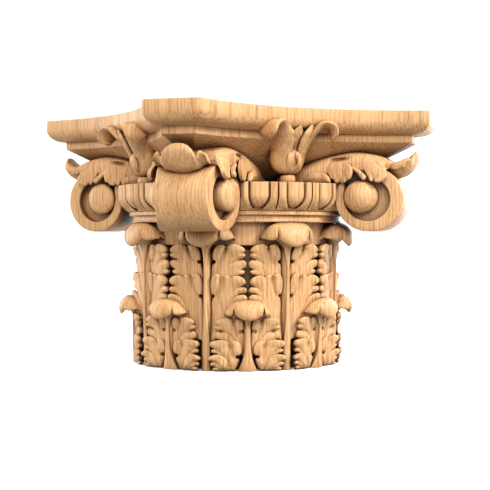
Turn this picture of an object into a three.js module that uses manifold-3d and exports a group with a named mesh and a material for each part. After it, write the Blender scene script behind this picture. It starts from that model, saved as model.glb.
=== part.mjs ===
// Carved wooden column capital of the composite order: two rows of acanthus leaves round a bell,
// an egg-and-dart ring, four angle volutes under a concave-sided abacus and a flower on each side.
// Millimetres, +Z up, origin at the centre of the underside.
import * as THREE from 'three';
import { mergeVertices } from 'three/addons/utils/BufferGeometryUtils.js';
import Module from 'manifold-3d';

const wasm = await Module();
wasm.setup();

// Driving sizes
const HEIGHT = 235.5;
const SHAFT_RADIUS = 100;

// Abacus: four concave sides with cut corners, an ovolo, a fillet and a deep splay underneath
const SIDE_MIDDLE = 119.3;
const SIDE_ARC_RADIUS = 217.5;
const CORNER_REACH = 190.8;
const FACE_BOTTOM = 226.5;
const OVOLO_BOTTOM = 214.5;
const OVOLO_INSET = 14;
const FILLET_INSET_SIDE = 15;
const FILLET_INSET_CORNER = 17.7;
const FILLET_BOTTOM = 207;
const SPLAY_RUN_PER_RISE = 1.35;
const SIDE_STEPS = 8;

// Bell, neck and the bands under the eggs
const BELL_RADIUS = 90;
const NECK_RADIUS = 95;
const NECK_BOTTOM = 106;
const BAND_BOTTOM = 133.6;
const BAND_TOP = 139.8;
const BAND_RADIUS = 101;
const FILLET_RADIUS = 103.5;
const ROUND_STEPS = 40;

// Egg-and-dart ring
const EGG_COUNT = 20;
const RING_BOTTOM = 144.6;
const RING_TOP = 169;
const RING_RADIUS = 112.2;
const RING_DROP = 8.5;
const EGG_RISE = 1.6;
const EGG_GROOVE = 4;
const SHELL_CUT = 3;

// Volute arms on the diagonals
const VOLUTE_REACH = 135.7;
const VOLUTE_HEIGHT = 155.3;
const VOLUTE_RADIUS = 30.2;
const VOLUTE_HALF_WIDTH = 29.1;
const VOLUTE_TAPER = Math.tan(THREE.MathUtils.degToRad(11.3));
const VOLUTE_STEPS = 20;
const RECESS_RADIUS = 20.3;
const RECESS_SHIFT = -1.5;
const RECESS_STEPS = 12;
const RECESS_DEPTH = 8;
const EYE_RADIUS = 15;
const EYE_RISE = 10;
const EYE_SHIFT = -7.5;
const EYE_LIFT = 2;
const EYE_STEPS = 8;
const LEAF_SKIN = 3.2;

// Flower
const CUP_STEPS = 10;
const BUTTON_STEPS = 8;

// Leaf rows: how many leaves, how far their fronts and backs stand from the axis, depth of the relief
const LEAVES_PER_ROW = 8;
const LEAF_STEP = 360 / LEAVES_PER_ROW;
const UPPER_FRONT = 97.5;
const LOWER_FRONT = SHAFT_RADIUS;
const LEAF_BACK = BELL_RADIUS - 4;
const NOTCH_DEPTH = 4;
const RIB_RISE = 3.5;
const RIB_HALF_ANGLE = 2.6;

// Facets closer together than this are merged
const TOLERANCE = 0.45;
const COLOUR = 0xdeb487;

const rad = THREE.MathUtils.degToRad;

// A point from its distance to the axis, its plan angle in degrees and its height
function polar(radius, angle, z) {
  return new THREE.Vector3(radius * Math.cos(rad(angle)), radius * Math.sin(rad(angle)), z);
}

// The angles of a whole turn in equal steps
function turnSteps(count) {
  return Array.from({ length: count }, (_, i) => (i / count) * 2 * Math.PI);
}

// A closed solid from an indexed list of corners, turned right side out if needed
function solid(points, faces) {
  let volume = 0;
  for (const [a, b, c] of faces) {
    volume += points[a].dot(new THREE.Vector3().crossVectors(points[b], points[c]));
  }
  const geometry = new THREE.BufferGeometry();
  geometry.setAttribute('position', new THREE.Float32BufferAttribute(points.flatMap((p) => p.toArray()), 3));
  geometry.setIndex(faces.flatMap(([a, b, c]) => (volume > 0 ? [a, b, c] : [a, c, b])));
  return toManifold(geometry);
}

function toManifold(geometry) {
  geometry.deleteAttribute('normal');
  geometry.deleteAttribute('uv');
  const merged = mergeVertices(geometry, 1e-4);
  const mesh = new wasm.Mesh({
    numProp: 3,
    vertProperties: new Float32Array(merged.attributes.position.array),
    triVerts: new Uint32Array(merged.index.array),
  });
  return new wasm.Manifold(mesh);
}

// A solid through a row of closed sections with equal numbers of points, fanned shut at both ends
function loft(sections) {
  const count = sections[0].length;
  const points = sections.flat();
  const faces = [];
  for (let i = 0; i + 1 < sections.length; i += 1) {
    for (let j = 0; j < count; j += 1) {
      const a = i * count + j;
      const b = i * count + ((j + 1) % count);
      faces.push([a, b, b + count], [a, b + count, a + count]);
    }
  }
  for (const [row, flip] of [[0, true], [sections.length - 1, false]]) {
    const centre = new THREE.Vector3();
    sections[row].forEach((p) => centre.addScaledVector(p, 1 / count));
    points.push(centre);
    for (let j = 0; j < count; j += 1) {
      const a = row * count + j;
      const b = row * count + ((j + 1) % count);
      faces.push(flip ? [points.length - 1, b, a] : [points.length - 1, a, b]);
    }
  }
  return solid(points, faces);
}

// A lathed solid from [radius, z] pairs that start and end on the axis
function lathe(profile, steps) {
  const geometry = new THREE.LatheGeometry(profile.map(([r, z]) => new THREE.Vector2(r, z)), steps);
  geometry.rotateX(Math.PI / 2);
  geometry.scale(1, -1, 1);
  const index = Array.from(geometry.index.array);
  for (let i = 0; i < index.length; i += 3) {
    [index[i], index[i + 1]] = [index[i + 1], index[i]];
  }
  geometry.setIndex(index);
  return toManifold(geometry);
}

function union(parts) {
  return parts.reduce((whole, part) => whole.add(part));
}

// The same solid turned round the axis to each of the given angles
function spin(part, angles) {
  return angles.map((angle) => part.rotate([0, 0, angle]));
}

// Outline of the abacus with its sides and corners drawn in by the given amounts
function abacusOutline(sideInset, cornerInset, z) {
  const arc = SIDE_ARC_RADIUS + sideInset;
  const centre = SIDE_MIDDLE + SIDE_ARC_RADIUS;
  const diagonal = (CORNER_REACH - cornerInset) / Math.SQRT2;
  // Half width of the cut corner, where the side's arc meets it
  const c = diagonal ** 2 + (centre - diagonal) ** 2 - arc ** 2;
  const half = (Math.SQRT2 * centre - Math.sqrt(2 * centre ** 2 - 4 * c)) / 2;
  // Deep in the splay the sides meet before they reach the cut corner
  const meeting = (centre - Math.sqrt(Math.max(0, 2 * arc ** 2 - centre ** 2))) / 2;
  const cornerX = Math.min(diagonal - half / Math.SQRT2, meeting - 0.3);
  const points = [];
  for (let side = 0; side < 4; side += 1) {
    const end = Math.asin(cornerX / arc);
    for (let i = 0; i <= SIDE_STEPS; i += 1) {
      const turn = end * ((2 * i) / SIDE_STEPS - 1);
      const p = new THREE.Vector3(arc * Math.sin(turn), -(centre - arc * Math.cos(turn)), z);
      points.push(p.applyAxisAngle(new THREE.Vector3(0, 0, 1), (side * Math.PI) / 2));
    }
  }
  return points;
}

function makeAbacus() {
  const rows = [abacusOutline(0, 0, HEIGHT), abacusOutline(0, 0, FACE_BOTTOM)];
  const ovoloSteps = 3;
  for (let i = 1; i <= ovoloSteps; i += 1) {
    const turn = (i / ovoloSteps) * (Math.PI / 2);
    const inset = OVOLO_INSET * (1 - Math.cos(turn));
    rows.push(abacusOutline(inset, inset, FACE_BOTTOM - (FACE_BOTTOM - OVOLO_BOTTOM) * Math.sin(turn)));
  }
  rows.push(abacusOutline(FILLET_INSET_SIDE, FILLET_INSET_CORNER, OVOLO_BOTTOM - 0.4));
  rows.push(abacusOutline(FILLET_INSET_SIDE, FILLET_INSET_CORNER, FILLET_BOTTOM));
  for (const z of [193, RING_TOP - 3]) {
    const run = (FILLET_BOTTOM - z) * SPLAY_RUN_PER_RISE;
    rows.push(abacusOutline(FILLET_INSET_SIDE + run, FILLET_INSET_CORNER + run, z));
  }
  return loft(rows);
}

function makeBell() {
  return lathe([
    [0, 0],
    [BELL_RADIUS + 3, 0],
    [BELL_RADIUS, 25],
    [BELL_RADIUS, NECK_BOTTOM],
    [NECK_RADIUS, NECK_BOTTOM + 4],
    [NECK_RADIUS, BAND_BOTTOM],
    [BAND_RADIUS, BAND_BOTTOM],
    [BAND_RADIUS, BAND_TOP],
    [FILLET_RADIUS, BAND_TOP],
    [FILLET_RADIUS, RING_BOTTOM],
    [FILLET_RADIUS - 3, RING_BOTTOM + 2],
    [FILLET_RADIUS - 3, RING_TOP - 4],
    [0, RING_TOP - 4],
  ], ROUND_STEPS);
}

// The ring swells to an ovolo. Each side shows three eggs, each between two grooves, a shell band and
// a thin cut towards the next; under the volutes the ring is plain
function makeEggRing() {
  const across = [
    [-0.5, -SHELL_CUT], [-0.38, 0], [-0.29, -EGG_GROOVE], [0, EGG_RISE], [0.29, -EGG_GROOVE], [0.38, 0],
  ];
  const period = 360 / EGG_COUNT;
  const plainAngles = [period * 1.6, period * 2.5, period * 3.4];
  const sections = [0, 0.4, 0.8, 1].map((down) => {
    const z = RING_TOP - (RING_TOP - RING_BOTTOM - 1) * down;
    const swell = RING_RADIUS - RING_DROP * Math.max(0, (down - 0.3) / 0.7) ** 2;
    const narrowing = Math.sqrt(1 - (down * 0.9) ** 2);
    const points = [];
    for (let side = 0; side < 4; side += 1) {
      for (const egg of [-1, 0, 1]) {
        for (const [place, rise] of across) {
          const angle = period * (egg + place * (Math.abs(place) < 0.3 ? narrowing : 1));
          points.push(polar(swell + rise * (down === 1 ? 0.3 : 1), 90 * side + angle, z));
        }
      }
      for (const angle of plainAngles) {
        points.push(polar(swell - EGG_GROOVE, 90 * side + angle, z));
      }
    }
    return points;
  });
  return loft(sections);
}

// Frame of an arm on the diagonal at plan angle 0: out along it, across it, up
function armPoint(out, across, z) {
  return new THREE.Vector3(VOLUTE_REACH + out, across, z);
}

function armHalfWidth(out) {
  return VOLUTE_HALF_WIDTH - out * VOLUTE_TAPER;
}

function makeVolute() {
  const disc = (side) => turnSteps(VOLUTE_STEPS).map((turn) => {
    const out = VOLUTE_RADIUS * Math.cos(turn);
    return armPoint(out, side * armHalfWidth(out), VOLUTE_HEIGHT + VOLUTE_RADIUS * Math.sin(turn));
  });
  let body = loft([disc(-1), disc(1)]);
  for (const side of [-1, 1]) {
    body = body.subtract(makeRecess(side)).add(makeEye(side));
  }
  return body;
}

function makeRecess(side) {
  const ring = (lift) => turnSteps(RECESS_STEPS).map((turn) => {
    const out = RECESS_SHIFT + RECESS_RADIUS * Math.cos(turn);
    return armPoint(out, side * (armHalfWidth(out) + lift), VOLUTE_HEIGHT + RECESS_RADIUS * Math.sin(turn));
  });
  return loft([ring(-RECESS_DEPTH), ring(2)]);
}

function makeEye(side) {
  const ring = (scale, lift) => turnSteps(EYE_STEPS).map((turn) => {
    const out = EYE_SHIFT + EYE_RADIUS * scale * Math.cos(turn);
    const z = VOLUTE_HEIGHT + EYE_LIFT + EYE_RADIUS * scale * Math.sin(turn);
    return armPoint(out, side * (armHalfWidth(out) + lift), z);
  });
  const levels = [[1, -RECESS_DEPTH - 2], [1, 0], [Math.SQRT1_2, EYE_RISE * Math.SQRT1_2], [0.2, EYE_RISE]];
  return loft(levels.map(([scale, lift]) => ring(scale, lift)));
}

// Acanthus leaf laid over a volute: a saddle whose lobed hem hangs on both flanks
function makeArmLeaf() {
  // Along the arm: place, height of the top, height of the hem
  const stations = [
    [-72, 170, 160], [-55, 185, 160], [-36, 194.5, 168], [-32, 195.3, 176], [-27, 196.5, 170],
    [-17, 198.2, 171.5], [-14, 198.2, 182], [-6, 198, 171.5], [-2, 197.6, 178], [8, 195.5, 170.5],
    [21, 187.5, 181],
  ];
  return loft(stations.map(([out, top, hem]) => {
    const half = armHalfWidth(Math.max(out, -60)) + LEAF_SKIN;
    const crown = half * 0.75;
    return [
      armPoint(out, -half, hem), armPoint(out, -half, top - 8), armPoint(out, -crown, top - 0.5),
      armPoint(out, crown, top - 0.5), armPoint(out, half, top - 8), armPoint(out, half, hem),
    ];
  }));
}

// The leaf's tip flares away from the volute and turns up like a shell
function makeArmTip() {
  // Along the tip: middle of the upper side (out, z), middle of the under side, half width, droop
  const stations = [
    [[16, 190], [20, 176], 23, 4], [[24, 187.5], [28.5, 173.2], 25, 1], [[30, 190.5], [36, 180], 24.5, -2],
    [[34, 195], [41, 189], 21, -4], [[37, 200], [40.5, 197], 14, -1],
  ];
  return loft(stations.map(([[upOut, upZ], [lowOut, lowZ], half, droop]) => {
    const side = half * 0.6;
    const edgeZ = upZ - droop - 2;
    return [
      armPoint(lowOut, 0, lowZ), armPoint(lowOut - 2, side, lowZ + 2), armPoint(upOut + 0.5, half, edgeZ),
      armPoint(upOut, side, upZ), armPoint(upOut, 0, upZ), armPoint(upOut, -side, upZ),
      armPoint(upOut + 0.5, -half, edgeZ), armPoint(lowOut - 2, -side, lowZ + 2),
    ];
  }));
}

function makeArms() {
  const arm = union([makeVolute(), makeArmLeaf(), makeArmTip()]);
  return spin(arm, [45, 135, 225, 315]);
}

// A tongue with an oval section swept along points given as middle, half width, half thickness
function tongue(stations, sides, widthway) {
  const middles = stations.map(([middle]) => middle);
  return loft(stations.map(([middle, half, thick], i) => {
    const ahead = middles[Math.min(i + 1, middles.length - 1)];
    const behind = middles[Math.max(i - 1, 0)];
    const along = new THREE.Vector3().subVectors(ahead, behind).normalize();
    const wide = new THREE.Vector3().copy(widthway).addScaledVector(along, -widthway.dot(along)).normalize();
    const deep = new THREE.Vector3().crossVectors(along, wide);
    return turnSteps(sides).map((turn) => new THREE.Vector3().copy(middle)
      .addScaledVector(wide, half * Math.cos(turn)).addScaledVector(deep, thick * Math.sin(turn)));
  }));
}

// Flower on the middle of the side at plan angle 0: x points out of the face, y along it
function makeFlower() {
  // Sections of the cup and of the button under it: z, middle, half width, half depth
  const cup = [[177, 97, 9, 7], [184, 98, 16.5, 12], [196, 100, 20, 15], [217, 104, 19, 12]];
  const button = [[168, 98, 7, 7], [173, 98, 7.8, 7.8], [178, 98, 5, 5]];
  const oval = (steps) => ([z, middle, half, deep]) => turnSteps(steps).map((turn) => (
    new THREE.Vector3(middle + deep * Math.cos(turn), half * Math.sin(turn), z)
  ));
  const parts = [loft(cup.map(oval(CUP_STEPS))), loft(button.map(oval(BUTTON_STEPS)))];
  for (const side of [-1, 1]) {
    const curl = [
      [new THREE.Vector3(104, side * 11, 192), 9, 6],
      [new THREE.Vector3(109, side * 17, 209), 11, 6.5],
      [new THREE.Vector3(116, side * 24, 218), 11.5, 6],
      [new THREE.Vector3(123, side * 31, 216.5), 10.5, 6],
      [new THREE.Vector3(124.5, side * 33.5, 209), 7, 4],
    ];
    parts.push(tongue(curl, 6, new THREE.Vector3(0.77, side * -0.64, 0)));
  }
  const petal = [
    [new THREE.Vector3(108, 0, 200), 9, 5],
    [new THREE.Vector3(112, 0, 212), 8, 5],
    [new THREE.Vector3(116, 0, 222), 3, 2],
  ];
  parts.push(tongue(petal, 6, new THREE.Vector3(0, 1, 0)));
  return union(parts);
}

// A leaf lying on the bell: from the raised midrib and the groove beside it to the scalloped edge.
// Each edge station is [angle from the midrib, z, z where its fold leaves the midrib, set back]
function makeLeafBlade(edge, front) {
  const groove = front - RIB_RISE;
  return loft(edge.map(([angle, z, foldZ, setBack]) => [
    polar(LEAF_BACK, -angle, z), polar(front - setBack, -angle, z), polar(groove, -RIB_HALF_ANGLE, foldZ),
    polar(front, 0, foldZ), polar(groove, RIB_HALF_ANGLE, foldZ), polar(front - setBack, angle, z),
    polar(LEAF_BACK, angle, z),
  ]));
}

// A strip standing on the bell, from rows of [z, half width in degrees, front radius]
function makeStrip(rows) {
  return loft(rows.map(([z, half, front]) => [
    polar(front, -half * 0.6, z), polar(front, half * 0.6, z),
    polar(LEAF_BACK, half, z), polar(LEAF_BACK, -half, z),
  ]));
}

// The leaf's tip leans out from the bell as a hood: widest at the wall, lowest at its front lip
function makeHood({ half, root, reach, top, sideTop, lip, sideLip }) {
  return loft([-1, -0.62, 0, 0.62, 1].map((place) => {
    const y = half * place;
    const wall = Math.sqrt(root ** 2 - y ** 2);
    const out = wall + 2 + (reach - root - 2) * Math.sqrt(1 - (0.97 * place) ** 2);
    const upper = top + (sideTop - top) * place ** 2;
    const lower = lip + (sideLip - lip) * place ** 2;
    return [
      new THREE.Vector3(wall - 6, y, upper - 3),
      new THREE.Vector3(wall + 0.45 * (out - wall), y, upper),
      new THREE.Vector3(out, y, (upper + lower) / 2 + 1),
      new THREE.Vector3(out - 2.5, y, lower),
      new THREE.Vector3(wall - 6, y, lower + 6),
    ];
  }));
}

function makeUpperLeaf() {
  const edge = [
    [18, 54, 48, 2], [21.5, 64, 52, 0.5], [18.5, 68.8, 56, NOTCH_DEPTH], [21.6, 74, 62, 0.5],
    [20, 84, 70, 0], [18.5, 86.5, 73, NOTCH_DEPTH], [21.4, 98, 83, 0.5], [19.5, 110.5, 92, 0],
    [11, 109, 97, NOTCH_DEPTH], [7, 112, 100, 1],
  ];
  const hood = { half: 26, root: 97, reach: 114, top: 132.8, sideTop: 121, lip: 112, sideLip: 117 };
  return union([
    makeLeafBlade(edge, UPPER_FRONT), makeHood(hood),
    makeStrip([[0, 2.8, UPPER_FRONT], [30, 2.2, UPPER_FRONT], [60, 2, UPPER_FRONT]]),
    makeStrip([[92, 2.6, UPPER_FRONT], [104, 5, UPPER_FRONT + 1], [120, 12, UPPER_FRONT + 7]]),
  ]);
}

function makeLowerLeaf() {
  const edge = [
    [17, 0, 0, 1], [19.8, 11.6, 4, 0], [17.4, 15.6, 8, NOTCH_DEPTH], [18.6, 25, 15, 0.2],
    [15.6, 28.4, 19, NOTCH_DEPTH], [16.9, 33, 23, 0.5], [15.8, 44, 32, 0], [9, 47, 39, 1],
  ];
  const hood = { half: 20, root: 99, reach: 113.5, top: 64, sideTop: 54, lip: 46.3, sideLip: 51 };
  return union([
    makeLeafBlade(edge, LOWER_FRONT), makeHood(hood),
    makeStrip([[0, 5, LOWER_FRONT], [20, 2, LOWER_FRONT]]),
    makeStrip([[34, 2, LOWER_FRONT], [42, 4.5, LOWER_FRONT + 1], [54, 8, LOWER_FRONT + 5]]),
  ]);
}

function rowAngles(first) {
  return Array.from({ length: LEAVES_PER_ROW }, (_, i) => first + LEAF_STEP * i);
}

function makeCapital() {
  const joined = union([
    makeBell(), makeEggRing(), makeAbacus(), ...makeArms(),
    ...spin(makeFlower(), [0, 90, 180, 270]),
    ...spin(makeUpperLeaf(), rowAngles(0)),
    ...spin(makeLowerLeaf(), rowAngles(LEAF_STEP / 2)),
  ]);
  // A pocket shut in between the carvings is filled: the outer shell is the one with the most volume
  const shells = joined.asOriginal().simplify(TOLERANCE).decompose();
  const outer = shells.reduce((best, shell) => (shell.volume() > best.volume() ? shell : best));
  const mesh = outer.getMesh();
  const geometry = new THREE.BufferGeometry();
  geometry.setAttribute('position', new THREE.BufferAttribute(new Float32Array(mesh.vertProperties), 3));
  geometry.setIndex(new THREE.BufferAttribute(new Uint32Array(mesh.triVerts), 1));
  const material = new THREE.MeshStandardMaterial({ color: COLOUR, roughness: 0.55, metalness: 0 });
  const capital = new THREE.Mesh(geometry, material);
  capital.name = 'capital';
  return capital;
}

const group = new THREE.Group();
group.add(makeCapital());

export default group;
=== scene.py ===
# Carved wooden composite capital: finer carving that stands for the one solid of the frame.
# Lengths are millimetres until a piece is made, where they become metres.
import math

import bpy
import numpy as np
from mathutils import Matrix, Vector
from mathutils.geometry import delaunay_2d_cdt


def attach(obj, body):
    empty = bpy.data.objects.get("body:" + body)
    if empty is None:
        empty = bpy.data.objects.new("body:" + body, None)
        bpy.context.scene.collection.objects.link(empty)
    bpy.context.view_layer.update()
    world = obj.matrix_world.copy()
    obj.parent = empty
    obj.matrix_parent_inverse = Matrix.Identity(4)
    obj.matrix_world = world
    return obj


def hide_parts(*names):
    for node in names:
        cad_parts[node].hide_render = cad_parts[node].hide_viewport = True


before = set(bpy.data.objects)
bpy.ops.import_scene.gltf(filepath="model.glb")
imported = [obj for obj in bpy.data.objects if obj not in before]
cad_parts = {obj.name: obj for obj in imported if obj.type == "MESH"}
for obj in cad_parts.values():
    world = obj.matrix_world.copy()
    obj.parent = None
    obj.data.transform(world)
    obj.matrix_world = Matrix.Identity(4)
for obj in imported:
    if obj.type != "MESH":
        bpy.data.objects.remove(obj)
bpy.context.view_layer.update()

MM = 0.001
CREASE = math.radians(38)

# Driving sizes of the capital
HEIGHT = 235.5
BELL = 88.0
NECK = 91.5
NECK_TOP = 134.5
LEAF_TOP = 113.0
LEAF_RADIUS = 98.0
DEGREE = math.radians(1) * LEAF_RADIUS
HALF_LEAF = 22.5 * DEGREE


# Curves

def between(before, start, end, after, t):
    """Points from start to end on a smooth curve that also minds the points before and after them."""
    return 0.5 * (
        2 * start
        + (end - before) * t
        + (2 * before - 5 * start + 4 * end - after) * t**2
        + (3 * start - before - 3 * end + after) * t**3
    )


def spline(points, steps=6):
    """Rows of numbers on a smooth open curve through the given rows."""
    p = np.asarray(points, float)
    if len(p) < 3:
        return p
    ends = np.vstack([2 * p[0] - p[1], p, 2 * p[-1] - p[-2]])
    t = np.linspace(0, 1, steps, endpoint=False)[:, None]
    runs = [between(*four, t) for four in zip(ends, ends[1:], ends[2:], ends[3:])]
    return np.vstack(runs + [p[-1:]])


def closed_spline(points, steps):
    """Flat points on a smooth closed curve through the given ones."""
    p = np.asarray(points, float)
    before = np.roll(p, 1, axis=0)
    after = np.roll(p, -1, axis=0)
    later = np.roll(p, -2, axis=0)
    runs = [between(before, p, after, later, t) for t in np.arange(steps) / steps]
    return np.stack(runs, axis=1).reshape(-1, 2)


def nearest(points, line, closed=False):
    """Distance from each point to a line, and the place of the nearest point along it, from 0 to 1."""
    ends = np.roll(line, -1, axis=0) if closed else line[1:]
    starts = line if closed else line[:-1]
    lengths = np.linalg.norm(ends - starts, axis=1)
    before = np.concatenate([[0], np.cumsum(lengths)])
    best = np.full(len(points), 1e9)
    place = np.zeros(len(points))
    for a, b, length, gone in zip(starts, ends, lengths, before):
        if length < 1e-9:
            continue
        t = np.clip(((points - a) @ (b - a)) / length**2, 0, 1)
        away = np.linalg.norm(points - (a + t[:, None] * (b - a)), axis=1)
        closer = away < best
        best[closer] = away[closer]
        place[closer] = (gone + t[closer] * length) / before[-1]
    return best, place


def inside(points, line):
    """True for the points inside a closed outline."""
    hit = np.zeros(len(points), bool)
    for (ax, ay), (bx, by) in zip(line, np.roll(line, -1, axis=0)):
        crosses = (ay > points[:, 1]) != (by > points[:, 1])
        rise = by - ay if by != ay else 1e-9
        x = ax + (points[:, 1] - ay) * (bx - ax) / rise
        hit ^= crosses & (points[:, 0] < x)
    return hit


def evenly(line, step):
    """A closed outline with its long stretches divided into steps and its shortest ones left out."""
    out = []
    for a, b in zip(line, np.roll(line, -1, axis=0)):
        length = np.linalg.norm(b - a)
        if length < 0.25:
            continue
        count = max(1, round(length / step))
        out.append(a + (b - a) * (np.arange(count) / count)[:, None])
    return np.vstack(out)


def smooth(x, low, high):
    """Rises from 0 at low to 1 at high, level at both."""
    t = np.clip((x - low) / (high - low), 0, 1)
    return t * t * (3 - 2 * t)


def hump(x, middle, width, power=2):
    """A rounded hump, 1 at its middle."""
    return np.exp(-(((x - middle) / width) ** power))


# Skins, each a pair of points and faces

def polar(radius, angle, z):
    """Points from distance to the axis, plan angle in radians and height."""
    radius, angle, z = np.broadcast_arrays(radius, angle, z)
    return np.stack([radius * np.cos(angle), radius * np.sin(angle), z], axis=-1)


def ring_faces(rows, columns):
    """Quads between closed rings of points, one ring to a row."""
    row = np.arange(rows - 1)[:, None] * columns
    column = np.arange(columns)[None, :]
    following = (column + 1) % columns
    corners = [row + column, row + following, row + columns + following, row + columns + column]
    return [tuple(quad) for quad in np.stack(corners, axis=-1).reshape(-1, 4)]


def capped(rings, flip=False):
    """A closed skin through rings of points (rows, columns, 3), fanned shut at both ends."""
    rows, columns, _ = rings.shape
    points = np.vstack([rings.reshape(-1, 3), rings[0].mean(axis=0), rings[-1].mean(axis=0)])
    faces = ring_faces(rows, columns)
    first_middle = rows * columns
    last_middle = first_middle + 1
    last_row = (rows - 1) * columns
    for column in range(columns):
        following = (column + 1) % columns
        faces.append((first_middle, following, column))
        faces.append((last_middle, last_row + column, last_row + following))
    skin = points, faces
    return flipped(skin) if flip else skin


def flipped(skin):
    """The same skin with its faces turned over."""
    points, faces = skin
    return points, [face[::-1] for face in faces]


def turned(skin, angle):
    """The same skin turned round the axis."""
    points, faces = skin
    c, s = math.cos(angle), math.sin(angle)
    return points @ np.array([[c, s, 0], [-s, c, 0], [0, 0, 1]]), faces


def mirrored(skin):
    """The same skin on the other side of the plane y = 0."""
    points, faces = flipped(skin)
    return points * np.array([1, -1, 1]), faces


def lathe(profile):
    """A closed skin turned round the axis from (radius, z) pairs, lowest first."""
    angle = np.linspace(0, 2 * math.pi, 160, endpoint=False)
    return capped(np.array([polar(radius, angle, z) for radius, z in profile]))


def make_mesh(name, skins):
    """One mesh in metres from skins, smooth up to the crease angle."""
    points = np.vstack([p for p, _ in skins]) * MM
    corners = []
    starts = []
    offset = 0
    for p, faces in skins:
        for face in faces:
            starts.append(len(corners))
            corners.extend(corner + offset for corner in face)
        offset += len(p)
    mesh = bpy.data.meshes.new(name)
    mesh.vertices.add(len(points))
    mesh.vertices.foreach_set("co", points.astype(np.float32).ravel())
    mesh.loops.add(len(corners))
    mesh.loops.foreach_set("vertex_index", np.array(corners, np.int32))
    mesh.polygons.add(len(starts))
    mesh.polygons.foreach_set("loop_start", np.array(starts, np.int32))
    mesh.polygons.foreach_set("use_smooth", np.ones(len(starts), bool))
    mesh.update(calc_edges=True)
    mesh.validate()
    mesh.set_sharp_from_angle(angle=CREASE)
    return mesh


def make_piece(name, skins, material):
    """One piece of the capital from its skins."""
    mesh = make_mesh(name, skins)
    mesh.materials.append(material)
    piece = bpy.data.objects.new(name, mesh)
    bpy.context.scene.collection.objects.link(piece)
    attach(piece, "root")
    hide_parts("capital")


# Acanthus leaves on the bell, each drawn as its right half in degrees from the midrib and height

def lobes(runs, root, low, high, creases=(), unit=DEGREE):
    """A group of lobes whose outline runs from notch to notch.

    Its veins come from the root. It stands low there and high at its tip. A crease is a line with a
    depth and a width. The unit is the length in mm of the drawing's first number.
    """
    scale = np.array([unit, 1.0])
    return {
        "line": np.vstack([spline(np.array(run) * scale)[:-1] for run in runs]),
        "root": np.array(root) * scale,
        "low": low,
        "high": high,
        "creases": [(spline(np.array(line) * scale), depth, width) for line, depth, width in creases],
    }


UPPER_CROWN = lobes(
    [
        [
            (10.9, 109.2), (11.8, 112.0), (14.4, 113.8), (17.6, 113.2), (20.2, 110.6), (21.1, 107.9),
            (20.0, 105.8),
        ],
        [(20.0, 105.8), (21.1, 104.6), (20.9, 102.4), (18.4, 99.8)],
        [(18.4, 99.8), (20.4, 99.2), (21.8, 97.0), (21.4, 93.4), (19.4, 90.8)],
        [(19.4, 90.8), (20.9, 89.7), (20.6, 87.2), (18.0, 85.0)],
        [(18.0, 85.0), (10.0, 72.0), (2.0, 64.0)],
        [(2.0, 64.0), (2.2, 84.0), (3.0, 94.0), (4.5, 97.6)],
        [
            (4.5, 97.6), (3.4, 100.6), (3.4, 105.2), (4.6, 110.0), (6.6, 113.2), (8.7, 113.8), (10.3, 112.2),
            (10.9, 109.2),
        ],
    ],
    root=(1.5, 70), low=5.2, high=10.4,
    creases=[
        ([(10.9, 109.2), (9.0, 101.0), (6.2, 93.0), (4.6, 84.0)], 3.2, 1.6),
        ([(18.4, 99.8), (16.0, 98.2), (12.5, 94.0)], 2.0, 1.4),
        ([(20.0, 105.8), (18.0, 104.6), (15.5, 102.0)], 0.6, 0.9),
        ([(19.4, 90.8), (17.4, 89.8), (15.0, 87.0)], 0.6, 0.9),
    ],
)
UPPER_MIDDLE = lobes(
    [
        [
            (3.7, 66.6), (2.4, 70.0), (2.2, 77.2), (2.9, 83.2), (4.4, 86.6), (6.2, 87.3), (7.8, 86.0),
            (8.6, 82.8),
        ],
        [(8.6, 82.8), (9.7, 85.6), (11.6, 86.0), (13.3, 84.0)],
        [(13.3, 84.0), (15.2, 85.6), (17.9, 85.2), (20.4, 83.0), (21.3, 79.0), (19.2, 75.4)],
        [(19.2, 75.4), (21.0, 74.8), (22.0, 72.3), (21.0, 69.6), (18.0, 68.4)],
        [(18.0, 68.4), (14.0, 50.0), (12.0, 32.0), (1.9, 26.0)],
        [(1.9, 26.0), (2.1, 44.0), (2.4, 60.0), (3.7, 66.6)],
    ],
    root=(1.5, 48), low=5.6, high=10.8,
    creases=[
        ([(8.6, 82.8), (7.8, 74.0), (5.6, 64.0), (4.0, 54.0)], 3.2, 1.6),
        ([(13.3, 84.0), (12.6, 79.0), (11.4, 73.0)], 0.9, 1.1),
        ([(19.2, 75.4), (17.2, 74.2), (14.0, 69.0)], 1.2, 1.2),
    ],
)
UPPER_FOOT = lobes(
    [
        [(17.8, 68.2), (20.4, 68.6), (22.0, 66.0), (21.8, 61.0), (20.6, 54.0), (20.0, 30.0)],
        [(20.0, 30.0), (9.5, 30.0)],
        [(9.5, 30.0), (9.8, 44.0), (10.8, 52.0), (12.6, 60.0), (14.8, 65.6), (17.8, 68.2)],
    ],
    root=(9, 30), low=6.4, high=11.8,
)
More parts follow.
